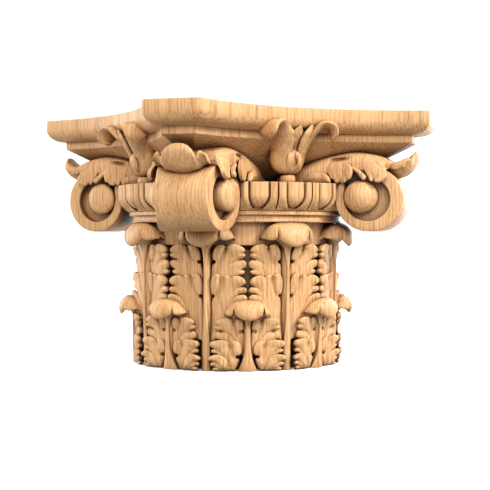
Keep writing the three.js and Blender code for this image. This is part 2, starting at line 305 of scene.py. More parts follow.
LOWER_CROWN = lobes(
    [
        [(2.2, 44.0), (3.6, 46.8), (5.6, 47.2), (7.5, 45.0)],
        [(7.5, 45.0), (9.2, 47.4), (12.2, 47.8), (14.9, 46.6), (16.4, 44.2), (15.8, 41.0)],
        [(15.8, 41.0), (17.1, 39.9), (16.6, 37.5), (14.0, 35.6)],
        [(14.0, 35.6), (16.1, 35.2), (17.4, 32.4), (17.0, 29.4), (15.2, 27.6)],
        [(15.2, 27.6), (9.0, 20.0), (1.0, 12.0)],
        [(1.0, 12.0), (1.4, 24.0), (1.9, 33.0), (3.8, 35.2)],
        [(3.8, 35.2), (2.0, 38.0), (2.2, 44.0)],
    ],
    root=(1.5, 14), low=8.4, high=12.6,
    creases=[
        ([(7.5, 45.0), (6.8, 38.0), (5.0, 30.0), (4.0, 22.0)], 2.8, 1.4),
        ([(14.0, 35.6), (11.0, 34.0), (8.0, 29.5), (6.2, 24.0)], 2.4, 1.4),
        ([(15.8, 41.0), (14.0, 39.6), (11.5, 36.5)], 0.8, 0.9),
    ],
)
LOWER_MIDDLE = lobes(
    [
        [(5.5, 12.4), (3.0, 16.0), (3.0, 21.0), (4.4, 25.6), (6.4, 27.3), (8.2, 26.4), (9.0, 23.2)],
        [(9.0, 23.2), (10.4, 26.8), (13.0, 28.2), (16.0, 27.8), (18.8, 26.6), (19.5, 23.4), (17.7, 20.0)],
        [(17.7, 20.0), (18.9, 18.8), (18.4, 16.4), (16.4, 15.2)],
        [(16.4, 15.2), (12.5, 8.0), (9.0, 0.0)],
        [(9.0, 0.0), (6.8, 0.0)],
        [(6.8, 0.0), (5.0, 6.0), (4.4, 10.0), (5.5, 12.4)],
    ],
    root=(1.5, -6), low=9.2, high=13.2,
    creases=[
        ([(9.0, 23.2), (8.4, 16.0), (7.2, 7.0)], 3.0, 1.5),
        ([(17.7, 20.0), (15.6, 18.2), (12.0, 12.0)], 1.2, 1.1),
    ],
)
LOWER_FOOT = lobes(
    [
        [
            (9.2, 0.0), (9.6, 5.0), (11.2, 10.6), (14.2, 14.6), (17.4, 14.8), (20.0, 12.6), (20.2, 10.4),
            (18.4, 8.4),
        ],
        [(18.4, 8.4), (19.4, 6.6), (18.9, 4.6), (17.4, 3.6)],
        [(17.4, 3.6), (18.4, 2.4), (17.9, 0.0)],
        [(17.9, 0.0), (9.2, 0.0)],
    ],
    root=(6, -10), low=10.4, high=14.0,
    creases=[
        ([(18.4, 8.4), (16.6, 7.6), (13.6, 4.0)], 1.0, 1.0),
        ([(17.4, 3.6), (15.8, 2.8), (13.6, 0.6)], 0.6, 0.8),
    ],
)
UPPER_LEAF = [UPPER_CROWN, UPPER_MIDDLE, UPPER_FOOT]
LOWER_LEAF = [LOWER_CROWN, LOWER_MIDDLE, LOWER_FOOT]

# Drilled eyes where an inner lobe meets the rib, as degrees from the midrib, height, and radius in mm
UPPER_EYES = [(4.4, 97.9, 1.5), (3.7, 67.0, 1.4)]
LOWER_EYES = [(3.9, 35.4, 1.3), (5.5, 12.8, 1.4)]
EYE_DEPTH = 6.0

# Stems as height, half width in mm and how far they stand off the bell; they flare into the leaf tips
UPPER_RIB = [
    (0, 4.2, 9.6), (22, 3.8, 10.0), (36, 2.7, 10.4), (50, 2.0, 10.6), (64, 1.6, 10.8), (90, 1.3, 11.0),
    (97, 1.7, 11.0), (104, 2.4, 10.8), (110, 3.8, 11.4), (114, 7.0, 13.4), (117, 11.5, 16.6),
    (119.5, 17.0, 20.0), (121.5, 20.0, 22.0),
]
LOWER_RIB = [
    (0, 9.2, 11.8), (6, 6.2, 12.2), (13, 3.8, 12.6), (22, 2.4, 12.8), (37, 1.6, 12.8), (42, 2.2, 12.6),
    (46, 3.6, 13.0), (49, 6.5, 14.4), (52, 10.5, 17.0), (54.5, 14.0, 19.0),
]
RIB_ROUND = 0.45

# The lobes' mesh size, thickness, lift at the tip, width of the rounded edge and droop towards it
LEAF_STEP = 0.85
LEAF_EDGE = 2.6
TIP_LIFT = 3.0
EDGE_ROUND = 1.6
EDGE_DROOP = 1.8

# The ground between the leaves lies behind the bell's face, and the stems' ridges stand before it
GROUND = -7.0
UPPER_RIDGE = 8.6
LOWER_RIDGE = 10.6
LOWER_RIDGE_TOP = 46.0
RIDGE_EASE = 3.0
RIDGE_FALL = 13.0

# The bell comes up under a lobe this far inside its outline and stops this far below its face
CARRY_INSIDE = 3.2
CARRY_UNDER = 2.0


def lobe_height(points, group, eyes):
    """Height over the bell of one group of lobes, and the distance inside its outline."""
    far, _ = nearest(points, group["line"], closed=True)
    far = np.where(inside(points, group["line"]), far, -far)
    reach = np.linalg.norm(group["line"] - group["root"], axis=1).max()
    run = np.linalg.norm(points - group["root"], axis=1) / reach
    rise = (group["high"] - group["low"]) * smooth(run, 0.0, 0.95)
    height = group["low"] + rise + TIP_LIFT * smooth(run, 0.72, 1.0)
    for line, depth, width in group["creases"]:
        away, place = nearest(points, line)
        height = height - depth * (1 - place) ** 0.8 * hump(away, 0, width)
    edge = np.clip(far / EDGE_ROUND, 0, 1)
    height = height - (1 - np.sqrt(1 - (1 - edge) ** 2))
    height = height - EDGE_DROOP * (1 - smooth(far, -3.0, 7.0))
    for degrees, z, radius in eyes:
        away = np.linalg.norm(points - np.array([degrees * DEGREE, z]), axis=1)
        height = height - EYE_DEPTH * (1 - smooth(away, 0.55 * radius, 1.1 * radius))
    return height, far


def on_bell(points, height):
    """Drawing points and heights wrapped round the bell, the midrib at plan angle 0."""
    return polar(BELL + height, points[:, 0] / DEGREE * math.radians(1), points[:, 1])


def triangles(points, edge_count):
    """Triangles between flat points, the first edge_count of them being the closed outline round the rest."""
    corners = [Vector(p) for p in points]
    made = delaunay_2d_cdt(corners, [], [list(range(edge_count))], 1, 1e-7)
    return np.array([tuple(v) for v in made[0]]), [tuple(f) for f in made[2]]


def grid_within(edge):
    """Staggered points inside a closed outline, a little away from it."""
    low, high = edge.min(axis=0), edge.max(axis=0)
    columns = np.arange(low[0], high[0], LEAF_STEP)
    rows = np.arange(low[1], high[1], LEAF_STEP * 0.87)
    x, z = np.meshgrid(columns, rows)
    x[1::2] += LEAF_STEP / 2
    field = np.stack([x.ravel(), z.ravel()], axis=-1)
    clear = nearest(field, edge, closed=True)[0] > 0.55 * LEAF_STEP
    return field[inside(field, edge) & clear]


def border_of(faces):
    """Each corner on the border of a sheet of triangles, with the corner that follows it."""
    sides = {(f[i], f[(i + 1) % 3]) for f in faces for i in range(3)}
    return {a: b for a, b in sides if (b, a) not in sides}


def in_order(border):
    """The border's corners in order round the sheet."""
    ring = [next(iter(border))]
    while border[ring[-1]] != ring[0]:
        ring.append(border[ring[-1]])
    return ring


def under_faces(edge, first):
    """Faces of a flat sheet inside an outline, seen from behind, its corners numbered from first."""
    points, faces = triangles(edge, len(edge))
    number = {tuple(np.round(point, 4)): first + i for i, point in enumerate(edge)}
    return [tuple(number[tuple(np.round(points[v], 4))] for v in face[::-1]) for face in faces]


def lobe_skin(group, eyes, placed):
    """One group of lobes as a thin closed shell whose edges stand clear of what is behind."""
    edge = evenly(group["line"], LEAF_STEP)
    edge[:, 1] = np.maximum(edge[:, 1], 0)
    flat, faces = triangles(np.vstack([edge, grid_within(edge)]), len(edge))
    height, _ = lobe_height(flat, group, eyes)
    border = border_of(faces)
    ring = in_order(border)
    count = len(flat)
    order = {corner: count + i for i, corner in enumerate(ring)}
    rim = [(b, a, order[a], order[b]) for a, b in border.items()]
    top = placed(flat, height)
    under = placed(flat[ring], height[ring] - LEAF_EDGE)
    return np.vstack([top, under]), faces + rim + under_faces(flat[ring], count)


def leaf_skins(leaf, eyes, turns):
    """Both halves of a leaf at every given plan angle."""
    halves = [lobe_skin(group, eyes, on_bell) for group in leaf]
    halves += [mirrored(skin) for skin in halves]
    return [turned(skin, angle) for angle in turns for skin in halves]


def rib(rows):
    """A leaf's stem at plan angle 0, with a rounded face and its back sunk in the bell."""
    across = np.linspace(-1, 1, 15)
    rings = []
    for z, half, high in spline(rows, 4):
        x = np.concatenate([half * across, [half, -half]])
        height = np.concatenate([high - RIB_ROUND * half * across**2, [GROUND, GROUND]])
        rings.append(on_bell(np.stack([x, np.full(len(x), z)], axis=-1), height))
    return capped(np.array(rings))


def bell_height(upper, lower):
    """Height of the bell's ground, from the same points measured from an upper and from a lower midrib."""
    height = GROUND + (NECK - BELL - GROUND) * smooth(upper[:, 1], LEAF_TOP - 4, LEAF_TOP)
    lower_ridge = np.where(lower[:, 1] < LOWER_RIDGE_TOP, LOWER_RIDGE, GROUND)
    for where, crest in ((upper, UPPER_RIDGE), (lower, lower_ridge)):
        x = where[:, 0]
        ridge = crest - RIDGE_EASE * smooth(x, 1.0, 4.4) - RIDGE_FALL * smooth(x, 3.2, 5.8)
        height = np.maximum(height, ridge)
    for where, leaf in ((upper, UPPER_LEAF), (lower, LOWER_LEAF)):
        for group in leaf:
            lobe, far = lobe_height(where, group, [])
            height = np.where(far > CARRY_INSIDE, np.maximum(height, lobe - CARRY_UNDER), height)
    return height


def bell_core():
    """The bell behind the leaves: deep between them, and standing up under each lobe to carry it."""
    rows = np.concatenate([np.arange(0, LEAF_TOP, 1.3), np.linspace(LEAF_TOP, NECK_TOP, 8)])
    columns = 30
    x, z = np.meshgrid(np.linspace(0, HALF_LEAF, columns), rows)
    upper = np.stack([x.ravel(), z.ravel()], axis=-1)
    lower = np.stack([HALF_LEAF - upper[:, 0], upper[:, 1]], axis=-1)
    height = bell_height(upper, lower).reshape(len(rows), columns)
    height = np.concatenate([height[:, :0:-1], height[:, :-1]], axis=1)
    x = np.concatenate([-x[:, :0:-1], x[:, :-1]], axis=1)
    angle = x / DEGREE * math.radians(1)
    angle = np.concatenate([angle + math.radians(45 * k) for k in range(8)], axis=1)
    return capped(polar(BELL + np.tile(height, (1, 8)), angle, rows[:, None]))


# Leaf tips that stand off the bell as hoods

UPPER_HOOD = {
    "half": 25.5, "root": 97, "reach": 114.5,
    "top": 133.4, "side_top": 121.4, "crown": 5.0,
    "lip": 111.5, "side_lip": 117.2, "fold": 0.62, "fold_depth": 5, "thickness": 3.4,
}
LOWER_HOOD = {
    "half": 20.5, "root": 99, "reach": 114,
    "top": 64.4, "side_top": 53.4, "crown": 3.0,
    "lip": 46.0, "side_lip": 49.8, "fold": 0.66, "fold_depth": 4, "thickness": 3.0,
}

# Half the width of the fold beside the middle lobe, as a share of the hood, and how far it cuts inward
FOLD_HALF = 0.035
FOLD_INWARD = 0.55


def hood_section(wall, out, upper, lower, thickness):
    """Section of a hood from its root in the wall over its brow, round its lip and back inside."""
    deep = out - wall
    tall = upper - lower
    return [
        (wall - 7, upper - 5),
        (wall - 3, upper - 2.6),
        (wall + 0.12 * deep, upper - 0.7),
        (wall + 0.42 * deep, upper - 0.2),
        (wall + 0.72 * deep, upper - 0.16 * tall),
        (wall + 0.92 * deep, upper - 0.38 * tall),
        (out, upper - 0.66 * tall),
        (out - 0.6, lower + 0.12 * tall),
        (out - 2.4, lower),
        (out - 2.4 - 0.5 * thickness, lower + 0.6),
        (out - 2.4 - thickness, lower + 0.30 * tall),
        (wall + 0.25 * deep, lower + 0.50 * tall),
        (wall - 3, lower + 0.52 * tall),
        (wall - 7, lower + 0.50 * tall),
    ]


def hood(half, root, reach, top, side_top, crown, lip, side_lip, fold, fold_depth, thickness):
    """A leaf's tip at plan angle 0: a wide middle lobe and, past a fold, a small one at each side."""
    rings = []
    for u in np.linspace(-1, 1, 61):
        y = half * u
        side = abs(u)
        wall = math.sqrt(root**2 - y**2)
        bow = math.sqrt(1 - (0.985 * side) ** 2) ** 0.9
        out = wall + 1.5 + (reach - root - 1.5) * bow
        upper = top + (side_top - top) * side**crown
        if side < fold:
            lower = lip + (side_lip + 2 - lip) * (side / fold) ** 2
        else:
            lower = side_lip + 1.6 * (2 * (side - fold) / (1 - fold) - 1.0) ** 2
        notch = fold_depth * hump(side, fold, FOLD_HALF)
        section = hood_section(wall, out - FOLD_INWARD * notch, upper, lower + notch, thickness)
        line = closed_spline(section, 3)
        rings.append(np.stack([line[:, 0], np.full(len(line), y), line[:, 1]], axis=-1))
    return capped(np.array(rings))


# Bands and the egg-and-dart ring

BANDS = [
    (BELL, 130), (NECK + 0.2, 130), (NECK + 0.2, 133.2),
    (100.2, 133.5), (101.0, 133.9), (101.2, 134.8), (100.6, 135.6), (100.2, 136.2),
    (100.2, 139.6), (102.8, 139.9), (103.5, 140.5), (103.6, 143.2), (103.2, 144.2),
    (101.5, 144.9), (98, 146), (98, 166),
]

EGGS = 20
EGG_STEP = 2 * math.pi / EGGS
EGG_HALF = 8.7
EGG_BOTTOM = 146.4
EGG_ROUND = 12.5
RING_RADIUS = 112.6
RING_FACE = RING_RADIUS + 1.2
RING_FOOT = 143.6
RING_FOOT_RADIUS = 99.0
RING_TOP = 169.4

# The ring draws in by this much from its widest level down
SWELL = 9.6
SWELL_TOP = 158.5
SWELL_TALL = 15.0

# Heights over the ring's face, and distances from an egg's edge or a dart's middle
EGG_FACE = 0.7
EGG_FALL = 3.6
GROOVE = -4.2
GROOVE_WIDE = 1.5
SHELL_FACE = 0.5
SHELL_MIDDLE = 4.2
SHELL_HALF = 2.6
DART_SLIT = -4.0
DART_HALF = 0.75


def egg_relief(x, z):
    """Height over the ring of an egg, the groove round it, the shell beside it and the dart's slit."""
    down = np.clip((EGG_BOTTOM + EGG_ROUND - z) / EGG_ROUND, 0, None)
    out = np.sqrt((x / EGG_HALF) ** 2 + down**2)
    gap = (out - 1) * EGG_HALF
    dome = np.sqrt(np.clip(1 - np.clip(out, 0, 1) ** 2, 0, 1))
    egg = EGG_FACE - EGG_FALL * (1 - dome) ** 1.5
    shell = np.maximum(SHELL_FACE - 0.9 * ((gap - SHELL_MIDDLE) / SHELL_HALF) ** 2, -1.0)
    height = np.where(gap < 0, egg, GROOVE)
    height = np.where(gap > GROOVE_WIDE, shell, height)
    slit = np.abs(np.abs(x) - 0.5 * EGG_STEP * RING_RADIUS)
    height = np.where(slit < DART_HALF, DART_SLIT, height)
    return height * smooth(z, RING_FOOT - 0.2, 146.5)


def egg_ring():
    """The ovolo ring, cut into eggs between curved shells."""
    foot_rows = np.linspace(RING_FOOT, 150, 10, endpoint=False)
    rows = np.concatenate([foot_rows, np.linspace(150, RING_TOP - 0.4, 26)])
    across = np.linspace(-0.5, 0.5, 72, endpoint=False) * EGG_STEP * RING_RADIUS
    x, z = np.meshgrid(across, rows)
    swell = SWELL * np.clip((SWELL_TOP - z) / SWELL_TALL, 0, 1) ** 2.1
    radius = RING_FACE + egg_relief(x, z) - swell
    radius = np.where(z < RING_FOOT + 0.6, RING_FOOT_RADIUS, radius)
    angle = np.concatenate([x / RING_RADIUS + EGG_STEP * k for k in range(EGGS)], axis=1)
    rings = polar(np.tile(radius, (1, EGGS)), angle, np.tile(z, (1, EGGS)))
    rim = rings[-1:].copy()
    rim[..., :2] *= 0.994
    rim[..., 2] = RING_TOP
    within = rim.copy()
    within[..., :2] *= 0.9
    return capped(np.concatenate([rings, rim, within]))


# Abacus, whose hollow sides are arcs and whose corners are cut across

SIDE_MIDDLE = 119.3
SIDE_ARC = 217.5
CORNER_REACH = 190.8
CORNER_EASE = 4
ROUND_TOP = 226.5
ROUND_IN = 14
ROUND_DOWN = 12
FILLET_TOP = ROUND_TOP - ROUND_DOWN
FILLET_IN = 15
FILLET_CORNER_IN = 17.7
SPLAY_TOP = 207
SPLAY_LEVELS = (200, 193, 186, 179, 172, 166)
SPLAY_SLOPE = 1.35
SPLAY_CORNER = 1.5


def arris_place(arc, centre, corner_inset):
    """Half the width of a side, up to where it meets the cut corner or else the next side."""
    diagonal = (CORNER_REACH - corner_inset) / math.sqrt(2)
    c = diagonal**2 + (centre - diagonal) ** 2 - arc**2
    half = (math.sqrt(2) * centre - math.sqrt(2 * centre**2 - 4 * c)) / 2
    meeting = (centre - math.sqrt(max(0.0, 2 * arc**2 - centre**2))) / 2
    return min(diagonal - half / math.sqrt(2), meeting - 0.3)


def abacus_outline(side_inset, corner_inset, z, ease=0.3):
    """Plan of the abacus at one height, its sides and corners drawn in by the given amounts."""
    arc = SIDE_ARC + side_inset
    centre = SIDE_MIDDLE + SIDE_ARC
    corner = arris_place(arc, centre, corner_inset)
    end = math.asin(corner / arc)
    arris = np.array([corner, arc * math.cos(end) - centre])
    across = (np.array([-arris[1], -corner]) - arris) / 2
    ease = min(ease, 0.8 * np.linalg.norm(across))
    along = np.array([math.cos(end), -math.sin(end)])
    turn = np.linspace(-(end - ease / arc), end - ease / arc, 40)
    side = np.stack([arc * np.sin(turn), arc * np.cos(turn) - centre], axis=-1)
    share = np.linspace(0, 1, 6)[1:, None]
    away = across / np.linalg.norm(across) * ease
    rounding = arris - along * ease * (1 - share) ** 2 + away * share**2
    side = np.vstack([rounding[::-1] * [-1, 1], side, rounding])
    quarters = []
    for quarter in range(4):
        c, s = math.cos(quarter * math.pi / 2), math.sin(quarter * math.pi / 2)
        quarters.append(side @ np.array([[c, s], [-s, c]]))
    plan = np.vstack(quarters)
    return np.column_stack([plan, np.full(len(plan), z)])


def abacus():
    """Plain face, quarter-round, fillet and the deep splay that leads back to the ring."""
    face = [(2.2, HEIGHT), (0.9, HEIGHT - 0.1), (0.15, HEIGHT - 0.6), (0, HEIGHT - 1.2), (0, ROUND_TOP + 0.5)]
    for turn in np.linspace(0, math.pi / 2, 12)[1:]:
        face.append((ROUND_IN * (1 - math.cos(turn)), ROUND_TOP - ROUND_DOWN * math.sin(turn)))
    rows = [(inset, inset, z, CORNER_EASE) for inset, z in face]
    rows += [
        (FILLET_IN + 0.2, FILLET_CORNER_IN, FILLET_TOP - 0.4),
        (FILLET_IN, FILLET_CORNER_IN, FILLET_TOP - 0.9),
        (FILLET_IN, FILLET_CORNER_IN, SPLAY_TOP + 0.8),
        (FILLET_IN + 0.3, FILLET_CORNER_IN + 0.3, SPLAY_TOP + 0.2),
        (FILLET_IN + 1.0, FILLET_CORNER_IN + 1.1, SPLAY_TOP - 0.3),
    ]
    for z in SPLAY_LEVELS:
        run = (SPLAY_TOP - z) * SPLAY_SLOPE
        rows.append((FILLET_IN + run, FILLET_CORNER_IN + SPLAY_CORNER * run, z))
    return capped(np.array([abacus_outline(*row) for row in rows[::-1]]))


# Volute arms, drawn on the diagonal at plan angle 0; out is measured from the scroll's middle

REACH = 135.7
VOLUTE_Z = 155.3
VOLUTE_R = 30.2
ARM_HALF = 29.1
ARM_BACK = -62
TAPER = math.tan(math.radians(11.3))
EYE_OUT, EYE_UP, EYE_R = -7.5, 2.0, 15.0
# The eye stands out less on the flank at +y, whose key is 1, than on the other
EYE_RISES = {1: 7.5, -1: 11.5}
CHANNEL_MIDDLE = (-1.5, -0.3)
CHANNEL_R = 20.3
CHANNEL_DEPTH = 8.5


def arm_half(out):
    """Half the arm's width, which grows towards the axis and stays the same behind ARM_BACK."""
    return ARM_HALF - np.maximum(out, ARM_BACK) * TAPER


def ray_to_circle(centre, radius, start, turn):
    """Distance from a start point to a circle round it, along each turn."""
    d = np.stack([np.cos(turn), np.sin(turn)], axis=-1)
    m = np.asarray(start, float) - centre
    b = d @ m
    return -b + np.sqrt(b**2 - (m @ m - radius**2))


def volute_rows(outer, channel, rise):
    """Distance from the eye's middle and height over the flank, from the eye's top out to the rim."""
    dome = [share * math.pi / 2 for share in np.linspace(0.06, 1, 10)]
    deep = -CHANNEL_DEPTH * smooth(channel - EYE_R, 0, 1.2)
    return [(EYE_R * math.sin(a), rise * math.cos(a)) for a in dome] + [
        (EYE_R, -3.0),
        (EYE_R + 0.01, deep),
        (channel - 0.02, deep),
        (channel, -0.8),
        (channel + 0.7, 0),
        ((channel + outer) / 2, 0),
        (outer - 0.9, 0),
        (outer - 0.25, -0.35),
        (outer, -1.1),
    ]


def volute():
    """The scroll: a drum between two discs, each with a crescent channel round a domed eye."""
    turn = np.linspace(0, 2 * math.pi, 96, endpoint=False)
    start = (EYE_OUT, EYE_UP)
    outer = ray_to_circle((0, 0), VOLUTE_R, start, turn)
    channel = np.maximum(ray_to_circle(CHANNEL_MIDDLE, CHANNEL_R, start, turn), EYE_R + 0.05)
    behind_leaf = hump(turn, math.radians(112), math.radians(34), 4)
    channel = channel + behind_leaf * (outer - 1.6 - channel)
    sides = []
    for side, rise in EYE_RISES.items():
        rings = []
        for far, lift in volute_rows(outer, channel, rise):
            out = EYE_OUT + far * np.cos(turn)
            up = VOLUTE_Z + EYE_UP + far * np.sin(turn)
            rings.append(np.stack([REACH + out, side * (arm_half(out) + lift), up], axis=-1))
        sides.append(rings)
    return capped(np.array(sides[0] + sides[1][::-1]))


# Leaf over the scroll, its lower edge and its top as distance from the scroll's middle and height

HEM = [
    (-84, 158), (-62, 166), (-50, 170), (-40, 176), (-36, 179), (-14, 182.5), (-2, 181), (5, 180), (16, 182),
    (20, 186),
]
TOP_LINE = [
    (-84, 176.5), (-74, 180), (-68, 183), (-59, 187.5), (-45, 192.5), (-31, 196.2), (-17.5, 198.4),
    (-4, 197.9), (10, 194.6), (20, 189.5),
]
LEAF_OFF_ARM = 3.4
SHOULDER_ROUND = 10.0

# A long hollow on each shoulder of the leaf
HOLLOW_DEPTH = 4.5
HOLLOW_OUT, HOLLOW_Z = -27, 191.4
HOLLOW_HALF, HOLLOW_TALL = 8, 1.5
HOLLOW_SLOPE = 0.1

# The lobes that hang on the arm's flank, as distance from the scroll's middle and height
FLANK_LOBES = [
    lobes(
        [
            [
                (-62.0, 169.6), (-58.0, 175.6), (-50.5, 179.2), (-43.5, 179.6), (-37.0, 177.4),
                (-33.8, 173.5), (-33.2, 169.6),
            ],
            [(-33.2, 169.6), (-62.0, 169.6)],
        ],
        root=(-66, 168), low=3.4, high=7.0, unit=1,
    ),
    lobes(
        [
            [(-38.4, 184.0), (-36.6, 178.4), (-34.0, 174.0), (-31.4, 172.4)],
            [(-31.4, 172.4), (-29.6, 170.2), (-27.2, 169.6), (-25.4, 170.8)],
            [(-25.4, 170.8), (-23.0, 169.8), (-20.0, 170.4), (-18.2, 172.2)],
            [
                (-18.2, 172.2), (-15.6, 173.2), (-13.8, 177.0), (-13.4, 181.0), (-14.8, 185.2),
                (-18.4, 187.8), (-24.0, 189.2), (-31.0, 189.2), (-36.0, 187.6), (-38.4, 184.0),
            ],
        ],
        root=(-48, 184), low=3.0, high=8.0, unit=1,
        creases=[
            ([(-31.4, 172.4), (-32.4, 176.0), (-34.0, 180.0)], 0.8, 1.2),
            ([(-25.4, 170.8), (-26.8, 175.0), (-29.6, 180.0)], 1.0, 1.2),
            ([(-18.2, 172.2), (-20.2, 176.0), (-24.0, 181.0)], 1.0, 1.2),
        ],
    ),
    lobes(
        [
            [
                (-15.4, 185.4), (-9.6, 182.8), (-3.6, 178.2), (-1.4, 175.0), (-3.2, 172.0), (-6.2, 174.0),
                (-10.8, 179.2), (-15.4, 182.0),
            ],
            [(-15.4, 182.0), (-15.4, 185.4)],
        ],
        root=(-24, 188), low=4.4, high=8.0, unit=1,
    ),
    lobes(
        [
            [(-8.0, 188.5), (-4.0, 182.0), (-1.0, 176.6), (1.0, 173.2), (3.3, 171.0), (5.2, 172.8)],
            [(5.2, 172.8), (7.0, 170.6), (10.4, 170.0), (14.2, 171.8), (17.2, 176.0), (15.8, 182.4)],
            [(15.8, 182.4), (10.0, 189.5), (0.0, 191.5), (-8.0, 188.5)],
        ],
        root=(-2, 196), low=2.4, high=8.0, unit=1,
        creases=[
            ([(5.2, 172.8), (4.4, 176.0), (2.6, 181.0)], 1.2, 1.2),
            ([(15.8, 182.4), (12.0, 184.0), (6.0, 188.0)], 1.0, 1.4),
        ],
    ),
]


def on_flank(points, height):
    """Drawing points and heights laid on the arm's flank at plan angle 0."""
    return np.stack([REACH + points[:, 0], arm_half(points[:, 0]) + height, points[:, 1]], axis=-1)


def saddle_ring(out, low, high):
    """Section of the leaf over the arm, from one hem over the rounded shoulders to the other."""
    half = arm_half(out) + LEAF_OFF_ARM
    ease = min(SHOULDER_ROUND, 0.6 * (high - low))
    turn = np.linspace(0, math.pi / 2, 19)[1:]
    side = np.linspace(low, high - ease, 10)
    inward = 1.2 * (1 - np.sqrt(np.clip((side - low) / (side[-1] - low), 0, 1)))
    across = np.concatenate([
        half - inward,
        half - ease * (1 - np.cos(turn)),
        np.linspace(half - ease, 0, 8)[1:],
    ])
    z = np.concatenate([side, high - ease + ease * np.sin(turn), np.full(7, high)])
    level = HOLLOW_Z + HOLLOW_SLOPE * (out - HOLLOW_OUT)
    across = across - HOLLOW_DEPTH * hump(out, HOLLOW_OUT, HOLLOW_HALF, 4) * hump(z, level, HOLLOW_TALL)
    z = z + np.where(across < half - ease, 0.6 * (1 - (across / (half - ease)) ** 2), 0)
    left = np.stack([np.full(len(z), REACH + out), across, z], axis=-1)
    return np.vstack([left, left[::-1][1:] * [1, -1, 1]])


def arm_leaf():
    """Acanthus leaf laid over the scroll like a saddle, with thin lobes hanging on both flanks."""
    outs = np.concatenate([np.linspace(-84, -56, 12), np.linspace(-54, 20, 60)])
    hem = np.interp(outs, *np.array(HEM, float).T)
    top = np.interp(outs, *spline(TOP_LINE).T)
    saddle = capped(np.array([saddle_ring(*row) for row in zip(outs, hem, top)]), flip=True)
    flank = [flipped(lobe_skin(group, [], on_flank)) for group in FLANK_LOBES]
    return [saddle] + flank + [mirrored(skin) for skin in flank]


# The leaf's tip: its outer and inner face as (out, height), and how its rim drops from the middle to a side

TIP_OUTER = [
    (19, 174.2), (26.5, 175.6), (32.7, 178.4), (37.6, 184.0), (41.2, 190.8), (41.8, 195.6), (40.6, 199.2),
]
TIP_INNER = [
    (12, 190), (20, 187.6), (27, 189.0), (32.0, 192.4), (35.0, 195.4), (37.4, 197.6), (39.0, 199.6),
]
TIP_RIM = [
    (0, 0), (0.2, -0.5), (0.38, -2.6), (0.52, -6.2), (0.60, -9.6), (0.64, -11.6), (0.68, -8.8), (0.74, -6.6),
    (0.80, -6.6), (0.84, -7.8), (0.88, -8.0), (0.93, -8.8), (0.97, -11.0), (1, -15.0),
]
TIP_NOTCH = 0.64
TIP_CREASE = 2.0
TIP_CREASE_HALF = 0.045
TIP_HALF = 24.5
TIP_SWEEP = 8.0
TIP_BELLY = 14.0


def arm_tip():
    """The leaf's tip flares away from the scroll and turns up like a shell of three lobes."""
    outer_line = spline(TIP_OUTER)
    inner_line = spline(TIP_INNER)
    share = np.linspace(0, 1, len(outer_line))
    spread = np.concatenate([share, share[::-1]])
    rings = []
    for u in np.linspace(-1, 1, 91):
        side = abs(u)
        drop = np.outer(share, [0, np.interp(side, *np.array(TIP_RIM).T)])
        sweep = [-TIP_SWEEP * side**2.2, 0]
        belly = TIP_BELLY * side**2.2
        crease = TIP_CREASE * hump(side, TIP_NOTCH, TIP_CREASE_HALF)
        outer = outer_line + drop + np.outer(1 - share, [-0.3 * belly, belly]) + sweep
        outer = outer - np.outer(share**1.5, [crease, -0.4 * crease])
        inner = inner_line + drop + np.outer(1 - share, [0, 0.25 * belly]) + sweep
        line = np.vstack([outer, inner[::-1]])
        across = TIP_HALF * u * (0.93 + 0.07 * spread)
        rings.append(np.stack([REACH + line[:, 0], across, line[:, 1]], axis=-1))
    return capped(np.array(rings))


# Flower, drawn on the side at plan angle 0

# Rows of height, middle's distance out, half width and half depth
CUP = [
    (176.4, 96, 5, 4), (177.6, 96, 9.5, 7), (182, 95.5, 14, 10.8), (189, 95.8, 16.8, 12.4),
    (197, 98.5, 17.2, 12.2), (205, 102, 17.2, 12), (211, 104, 17, 10), (215, 105, 14, 6),
]
# Rows of height and radius
BUTTON = [(166, 6), (168.6, 6.4), (170.5, 7.0), (173, 7.1), (175.4, 6.5), (176.8, 4.5)]
BUTTON_OUT = 97
CUP_HOLLOW = 7.0
CUP_TURN = np.linspace(0, 2 * math.pi, 64, endpoint=False)
# Widthway of the petals that face straight out
ACROSS = (0, 1, 0)


def swept(middles, wide, deep, widthway):
    """A petal with an oval section swept along a smooth line of middles."""
    line = spline(middles, 5)
    place = np.linspace(0, len(middles) - 1, len(line))
    wide = np.interp(place, np.arange(len(middles)), wide)
    deep = np.interp(place, np.arange(len(middles)), deep)
    along = np.gradient(line, axis=0)
    along /= np.linalg.norm(along, axis=1)[:, None]
    flat = np.asarray(widthway, float)
    across = flat - along * (along @ flat)[:, None]
    across /= np.linalg.norm(across, axis=1)[:, None]
    normal = np.cross(along, across)
    turn = np.linspace(0, 2 * math.pi, 20, endpoint=False)
    sideways = across[:, None] * (wide[:, None] * np.cos(turn))[..., None]
    frontways = normal[:, None] * (deep[:, None] * np.sin(turn))[..., None]
    return capped(line[:, None] + sideways + frontways)


def cup():
    """The flower's cup, hollowed in front between the petals."""
    rings = []
    for z, middle, half, deep in spline(CUP, 5):
        y = half * np.sin(CUP_TURN)
        front = np.cos(CUP_TURN)
        hollow = CUP_HOLLOW * smooth(z, 190, 208) * smooth(10.0 - np.abs(y), 0.0, 6.0)
        x = middle + deep * front - hollow * smooth(front, 0.0, 0.5)
        rings.append(np.stack([x, y, np.full(len(x), z)], axis=-1))
    return capped(np.array(rings))


def button():
    """The round button that the cup stands on."""
    rings = [polar(radius, CUP_TURN, z) + [BUTTON_OUT, 0, 0] for z, radius in BUTTON]
    return capped(np.array(rings))


